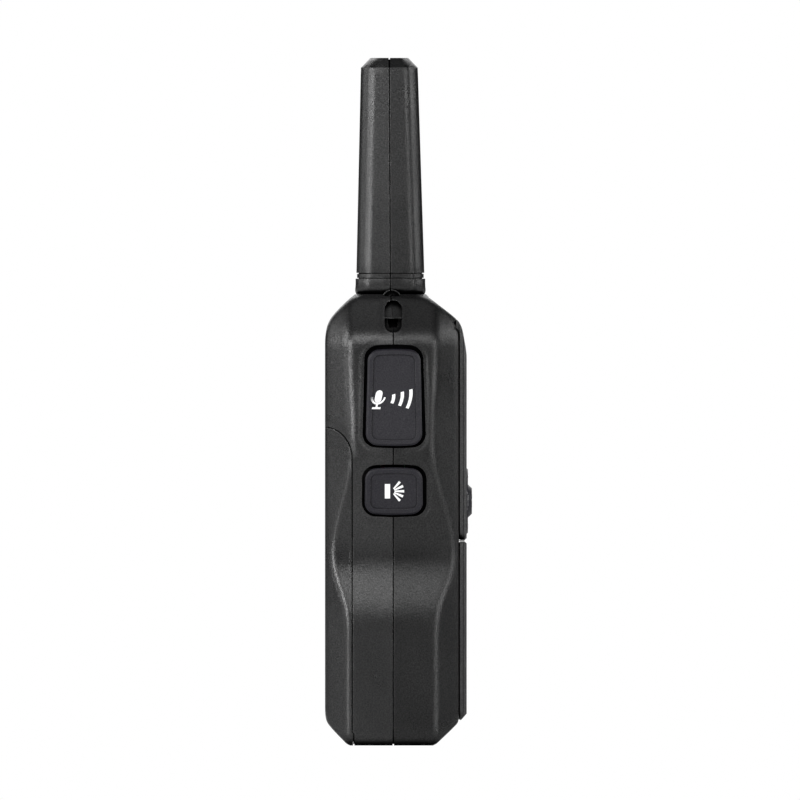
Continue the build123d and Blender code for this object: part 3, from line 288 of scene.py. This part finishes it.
def cloth(name):
    """Black speaker cloth, woven both ways."""
    n = Nodes(name)
    across = n.add("ShaderNodeTexWave", "Fac", {"bands_direction": "X"}, Vector=n.coordinates, Scale=420)
    along = n.add("ShaderNodeTexWave", "Fac", {"bands_direction": "Z"}, Vector=n.coordinates, Scale=420)
    weave = n.math("MULTIPLY", across, along)
    base = n.mix(weave, grey(0.004), grey(0.03))
    return n.surface(Base_Color=base, Roughness=n.spread(n.noise(900), 0.3, 0.7, 0.8, 0.95),
                     Normal=n.bump(weave, 0.08 * MM, 0.8), Sheen_Weight=0.3)


def paper(name, colour):
    """Pressed paper with loose fibres."""
    n = Nodes(name)
    fibre = n.noise(1200, 5.0, 0.7)
    base = n.mix(n.spread(fibre, 0.35, 0.75), colour, tuple(c * 1.8 for c in colour[:3]) + (1.0,))
    return n.surface(Base_Color=base, Roughness=n.spread(fibre, 0.3, 0.7, 0.75, 0.92),
                     Normal=n.bump(fibre, 0.06 * MM, 0.8))


def cell_sleeve(name, low, high):
    """A printed battery sleeve: dark body and a coppery band at the upper end, with wrap wrinkles."""
    n = Nodes(name)
    height = n.add("ShaderNodeSeparateXYZ", "Z", None, Vector=n.coordinates)
    band = n.spread(height, low, low + 0.0002)
    top = n.spread(height, high, high + 0.0002)
    scratch = n.noise(500, 5.0, 0.7)
    base = n.mix(band, grey(0.02), (0.55, 0.24, 0.07, 1))
    base = n.mix(top, base, grey(0.5))
    base = n.mix(n.spread(scratch, 0.55, 0.8, 0.0, 0.4), base, grey(0.3))
    return n.surface(Base_Color=base, Metallic=0.55, Roughness=n.spread(scratch, 0.3, 0.7, 0.24, 0.36),
                     Normal=n.bump(scratch, 0.02 * MM, 0.4))


# name, colour, colour where worn, roughness, grains per metre, grain depth and shine
REAR_TONES = (grey(0.0055, 1.02), grey(0.020, 1.02), 0.27, 2300, 0.04 * MM)
REAR_HALF = moulded_plastic("rear_half_grain", *REAR_TONES, 0.62, 2.6 * MM, clear_of_seams)
COVER = moulded_plastic("cover_grain", *REAR_TONES, 0.58, 1.3 * MM, below_arch)
# the front half is a darker, less shiny copy of the rear half's plastic: painted shade standing in for
# the front half catching less light than the rear half
SHADED_FRONT_HALF = moulded_plastic("front_half_painted_shade_grain", grey(0.0035, 1.02), grey(0.014, 1.02), 0.27, 2300,
                             0.04 * MM, 0.45, 2.6 * MM, clear_of_seams)
PANEL = moulded_plastic("panel_grain", grey(0.016, 1.02), grey(0.04), 0.30, 2600, 0.035 * MM, 0.7)
BUTTON = moulded_plastic("button_grain", (0.0078, 0.0072, 0.0112, 1), (0.018, 0.017, 0.022, 1),
                         0.42, 3000, 0.03 * MM, 0.36)
BLACK = moulded_plastic("black_moulding", grey(0.008), grey(0.03), 0.42, 2600, 0.03 * MM)
WHITE_MOULDING = moulded_plastic("white_moulding", grey(0.75), grey(0.6), 0.4, 2600, 0.02 * MM)
INK = print_ink("white_ink")
WIRE = moulded_plastic("wire_cover", (0.35, 0.02, 0.02, 1), (0.45, 0.1, 0.08, 1), 0.35, 2000, 0.01 * MM)
CELL_BAND = (46 * MM, 60.8 * MM)  # heights between which a cell's sleeve is coppery

SLOT_MATERIALS = {
    "housing_plastic": REAR_HALF,
    "panel_plastic": PANEL,
    "button_plastic": BUTTON,
    "clear_lens": clear_window("display_window"),
    "display_glass": lcd("display_glass"),
    "white_plastic": WHITE_MOULDING,
    "circuit_board": circuit_board("circuit_board"),
    "bright_steel": metal("bright_steel", (0.62, 0.62, 0.63, 1), 0.28),
    "copper_wire": metal("copper_wire", (0.72, 0.33, 0.16, 1), 0.3),
    "black_plastic": BLACK,
    "soft_rubber": rubber("soft_rubber", grey(0.018)),
    "speaker_cloth": cloth("speaker_cloth"),
    "cone_paper": paper("cone_paper", grey(0.02)),
    "magnet_iron": metal("magnet_iron", (0.2, 0.2, 0.21, 1), 0.4),
    "wire_cover": WIRE,
    "mic_can": metal("mic_can", (0.7, 0.7, 0.71, 1), 0.3),
    "cell_can": cell_sleeve("cell_sleeve", *CELL_BAND),
}

NODE_MATERIALS = {  # pieces that look different from the rest of their slot
    "torch_lens": torch_glass("torch_window"),
    "front_housing": SHADED_FRONT_HALF,
    "battery_cover": COVER,
}
slots = {part["node"]: part["material_slot"] for part in frame["record"]["subparts"]}
for node, obj in frame["nodes"].items():
    obj.data.materials.clear()
    obj.data.materials.append(NODE_MATERIALS.get(node, SLOT_MATERIALS[slots[node]]))


# --- Printed symbols -----------------------------------------------------------------------------
INK_THICKNESS = 0.05 * MM
INK_ROOT = 0.03 * MM  # how far a printed plate reaches into the surface below it
STAND_OFF = 50 * MM  # how far outside a piece the search for its surface starts


def printed_on(node, look, across, shift=(0.0, 0.0)):
    """Maps (across, up) in millimetres to a node's surface, seen along look; (0, 0) is its middle."""
    low, high = (Vector(corner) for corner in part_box(node))
    look, across, up = Vector(look), Vector(across), Vector((0, 0, 1))
    middle = (low + high) / 2 + (across * shift[0] + up * shift[1]) * MM
    body = frame["nodes"][node]

    def place(u, v, lift):
        start = middle + (across * u + up * v) * MM - look * STAND_OFF
        found, point, _, _ = body.ray_cast(start, look)
        assert found, f"{node} has no surface under its symbol"
        return point - look * lift
    return place


def prism(bm, outline, place):
    """Adds a closed plate to bm, from an outline of (across, up) points."""
    back = [bm.verts.new(place(u, v, -INK_ROOT)) for u, v in outline]
    front = [bm.verts.new(place(u, v, INK_THICKNESS)) for u, v in outline]
    bm.faces.new(front)
    bm.faces.new(list(reversed(back)))
    for i in range(len(outline)):
        j = (i + 1) % len(outline)
        bm.faces.new((back[i], back[j], front[j], front[i]))


def symbol(name, outlines, place, body):
    bm = bmesh.new()
    for outline in outlines:
        prism(bm, outline, place)
    bmesh.ops.recalc_face_normals(bm, faces=bm.faces)
    mesh = bpy.data.meshes.new(name)
    bm.to_mesh(mesh)
    bm.free()
    obj = bpy.data.objects.new(name, mesh)
    bpy.context.scene.collection.objects.link(obj)
    mesh.materials.append(INK)
    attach(obj, body)


def bar(start, end, width, end_width=None):
    """A straight stroke between two points, optionally tapering."""
    a, b = Vector(start), Vector(end)
    side = Vector((a.y - b.y, b.x - a.x)).normalized() / 2
    end_width = end_width or width
    corners = (a - side * width, b - side * end_width, b + side * end_width, a + side * width)
    return [tuple(corner) for corner in corners]


def arc(centre, radius, start, end, width, steps=16):
    """A curved stroke between two angles in degrees."""
    points = []
    angles = [math.radians(start + (end - start) * i / steps) for i in range(steps + 1)]
    for r, turn in ((radius + width / 2, angles), (radius - width / 2, angles[::-1])):
        points += [(centre[0] + r * math.cos(t), centre[1] + r * math.sin(t)) for t in turn]
    return points


def capsule(centre, width, height, steps=10):
    """An upright round ended bar."""
    radius = width / 2
    points = []
    for way, start in ((1, 0), (-1, 180)):
        for i in range(steps + 1):
            t = math.radians(start + 180 * i / steps)
            points.append((centre[0] + radius * math.cos(t),
                           centre[1] + way * (height / 2 - radius) + radius * math.sin(t)))
    return points


def lean(outline, slant):
    return [(u + slant * v, v) for u, v in outline]


def turned(outline, quarter_turns):
    for _ in range(quarter_turns):
        outline = [(-v, u) for u, v in outline]
    return outline


def talk_outlines():
    """A microphone on a stand, with three waves leaving it."""
    u = -3.9
    outlines = [
        capsule((u, 0.65), 1.6, 2.9),
        arc((u, 0.45), 1.5, 180, 360, 0.42),
        bar((u, -1.2), (u, -1.9), 0.45),
        bar((u - 1.0, -2.1), (u + 1.0, -2.1), 0.45),
    ]
    for radius in (3.6, 5.6, 7.6):
        outlines.append(arc((u, 0.1), radius, -17, 17, 0.75))
    return [lean(outline, 0.2) for outline in outlines]


def torch_outlines():
    """A lamp and the five rays that leave it."""
    outlines = [[(-2.3, -1.7), (-1.05, -1.7), (-1.05, 1.7), (-2.3, 1.7)]]
    for angle in (48, 24, 0, -24, -48):
        direction = Vector((math.cos(math.radians(angle)), math.sin(math.radians(angle))))
        hub = Vector((-0.75, 0.0))
        outlines.append(bar(hub + direction * 0.75, hub + direction * 3.0, 0.3, 0.6))
    return outlines


FROM_TALK_SIDE, TOWARDS_FRONT = (1, 0, 0), (0, -1, 0)
FROM_FRONT, TOWARDS_RIGHT = (0, 1, 0), (1, 0, 0)
symbol("talk_symbol", talk_outlines(),
       printed_on("ptt_button", FROM_TALK_SIDE, TOWARDS_FRONT, (0.1, -0.65)), "ptt_button")
symbol("torch_symbol", torch_outlines(),
       printed_on("light_button", FROM_TALK_SIDE, TOWARDS_FRONT, (-0.55, -0.1)), "light_button")

TRIANGLE = [(-0.95, -0.5), (0.95, -0.5), (0.0, 0.75)]
key_symbols = {
    "up_key": [TRIANGLE],
    "down_key": [turned(TRIANGLE, 2)],
    "menu_key": [turned(TRIANGLE, 1)],
    "call_key": [turned(TRIANGLE, 3)],
    "centre_key": [arc((0, 0), 1.3, 0, 359, 0.4, 32)],
    "power_key": [arc((0, 0), 1.0, 125, 415, 0.35, 28), bar((0, 0.2), (0, 1.35), 0.35)],
    "scan_key": [arc((0, 0), 1.05, 20, 160, 0.35), arc((0, 0), 1.05, 200, 340, 0.35),
                 capsule((0, 0), 0.6, 0.62)],
}
for key, outlines in key_symbols.items():
    symbol(key.replace("key", "symbol"), outlines, printed_on(key, FROM_FRONT, TOWARDS_RIGHT), key)


# --- Stage ------------------------------------------------------------------------------------------
FLOOR_GAP = 0.2 * MM  # keeps the floor clear of the object's bottom face


def floor():
    bm = bmesh.new()
    bmesh.ops.create_grid(bm, x_segments=8, y_segments=8, size=4)
    mesh = bpy.data.meshes.new("studio_floor")
    bm.to_mesh(mesh)
    bm.free()
    obj = bpy.data.objects.new("studio_floor", mesh)
    bpy.context.scene.collection.objects.link(obj)
    n = Nodes("floor_paint")
    mottle = n.noise(3, 2.0)
    mesh.materials.append(n.surface(Base_Color=n.mix(mottle, grey(0.74), grey(0.78)), Roughness=0.7))
    obj.location.z = cad_box[0][2] - FLOOR_GAP


floor()

world = bpy.data.worlds.new("studio")
world.use_nodes = True
bpy.context.scene.world = world
tree = world.node_tree
tree.nodes.clear()
out = tree.nodes.new("ShaderNodeOutputWorld")
seen = tree.nodes.new("ShaderNodeBackground")
seen.inputs["Color"].default_value = (1, 1, 1, 1)
lit = tree.nodes.new("ShaderNodeBackground")
lit.inputs["Color"].default_value = (0.9, 0.93, 1.0, 1)
lit.inputs["Strength"].default_value = 0.04
path = tree.nodes.new("ShaderNodeLightPath")
blend = tree.nodes.new("ShaderNodeMixShader")
tree.links.new(path.outputs["Is Camera Ray"], blend.inputs[0])
tree.links.new(lit.outputs[0], blend.inputs[1])
tree.links.new(seen.outputs[0], blend.inputs[2])
tree.links.new(blend.outputs[0], out.inputs["Surface"])

MIDDLE = Vector((0, 0, 0.08))


def softbox(name, position, size, power, aim=MIDDLE, spread=180):
    light = bpy.data.lights.new(name, "AREA")
    light.shape = "RECTANGLE"
    light.size, light.size_y = size
    light.energy = power
    light.spread = math.radians(spread)
    obj = bpy.data.objects.new(name, light)
    obj.location = position
    obj.rotation_euler = (Vector(aim) - Vector(position)).to_track_quat("-Z", "Y").to_euler()
    bpy.context.scene.collection.objects.link(obj)


def around(azimuth, elevation, distance=1.0):
    """A place around the object; azimuth 0 is in front of the talk side, and grows towards the back."""
    a, e = math.radians(azimuth), math.radians(elevation)
    away = Vector((-math.cos(e) * math.cos(a), math.cos(e) * math.sin(a), math.sin(e)))
    return MIDDLE + away * distance


SOFTBOXES = [  # name, position, size, power
    ("rear_kicker", around(33, 9), (0.11, 0.6), 0.55),
    ("rear_strip", around(62, 22, 0.5), (0.11, 0.34), 1.0),
    ("rear_side", around(92, 20, 0.5), (0.11, 0.36), 0.3),
    ("display_kicker", around(-33, 9), (0.10, 0.6), 0.33),
    ("display_strip", around(-80, 22, 0.5), (0.15, 0.34), 0.9),
    ("high_box", around(0, 35), (0.6, 0.22), 2.1),
    ("top_fill", around(0, 72), (0.6, 0.3), 0.35),
    ("far_rear", around(155, 30), (0.5, 0.7), 2.3),
    ("far_display", around(-155, 30), (0.5, 0.7), 2.3),
    ("far_high", around(180, 50), (0.6, 0.5), 1.8),
]
KICKER_SPREAD = 60
for name, position, size, power in SOFTBOXES:
    softbox(name, position, size, power, spread=KICKER_SPREAD if name.endswith("kicker") else 180)
softbox("antenna_box", (-0.45, 0.0, 0.225), (0.35, 0.06), 0.25, aim=(0.0, 0.0, 0.14))

# --- Camera -------------------------------------------------------------------------------------------
FRAME_HEIGHT = 188.48 * MM
VIEW_CENTRE = (-1.01 * MM, 81.4 * MM)  # Y and Z at the middle of the picture
CAMERA_DISTANCE = 2.5

camera = bpy.data.cameras.new("camera")
camera.type = "ORTHO"
camera.ortho_scale = FRAME_HEIGHT
camera.clip_start, camera.clip_end = 0.05, 20
viewer = bpy.data.objects.new("camera", camera)
viewer.location = (-CAMERA_DISTANCE, *VIEW_CENTRE)
viewer.rotation_euler = (math.radians(90), 0, math.radians(-90))
bpy.context.scene.collection.objects.link(viewer)
bpy.context.scene.camera = viewer
bpy.context.scene.view_settings.view_transform = "Standard"
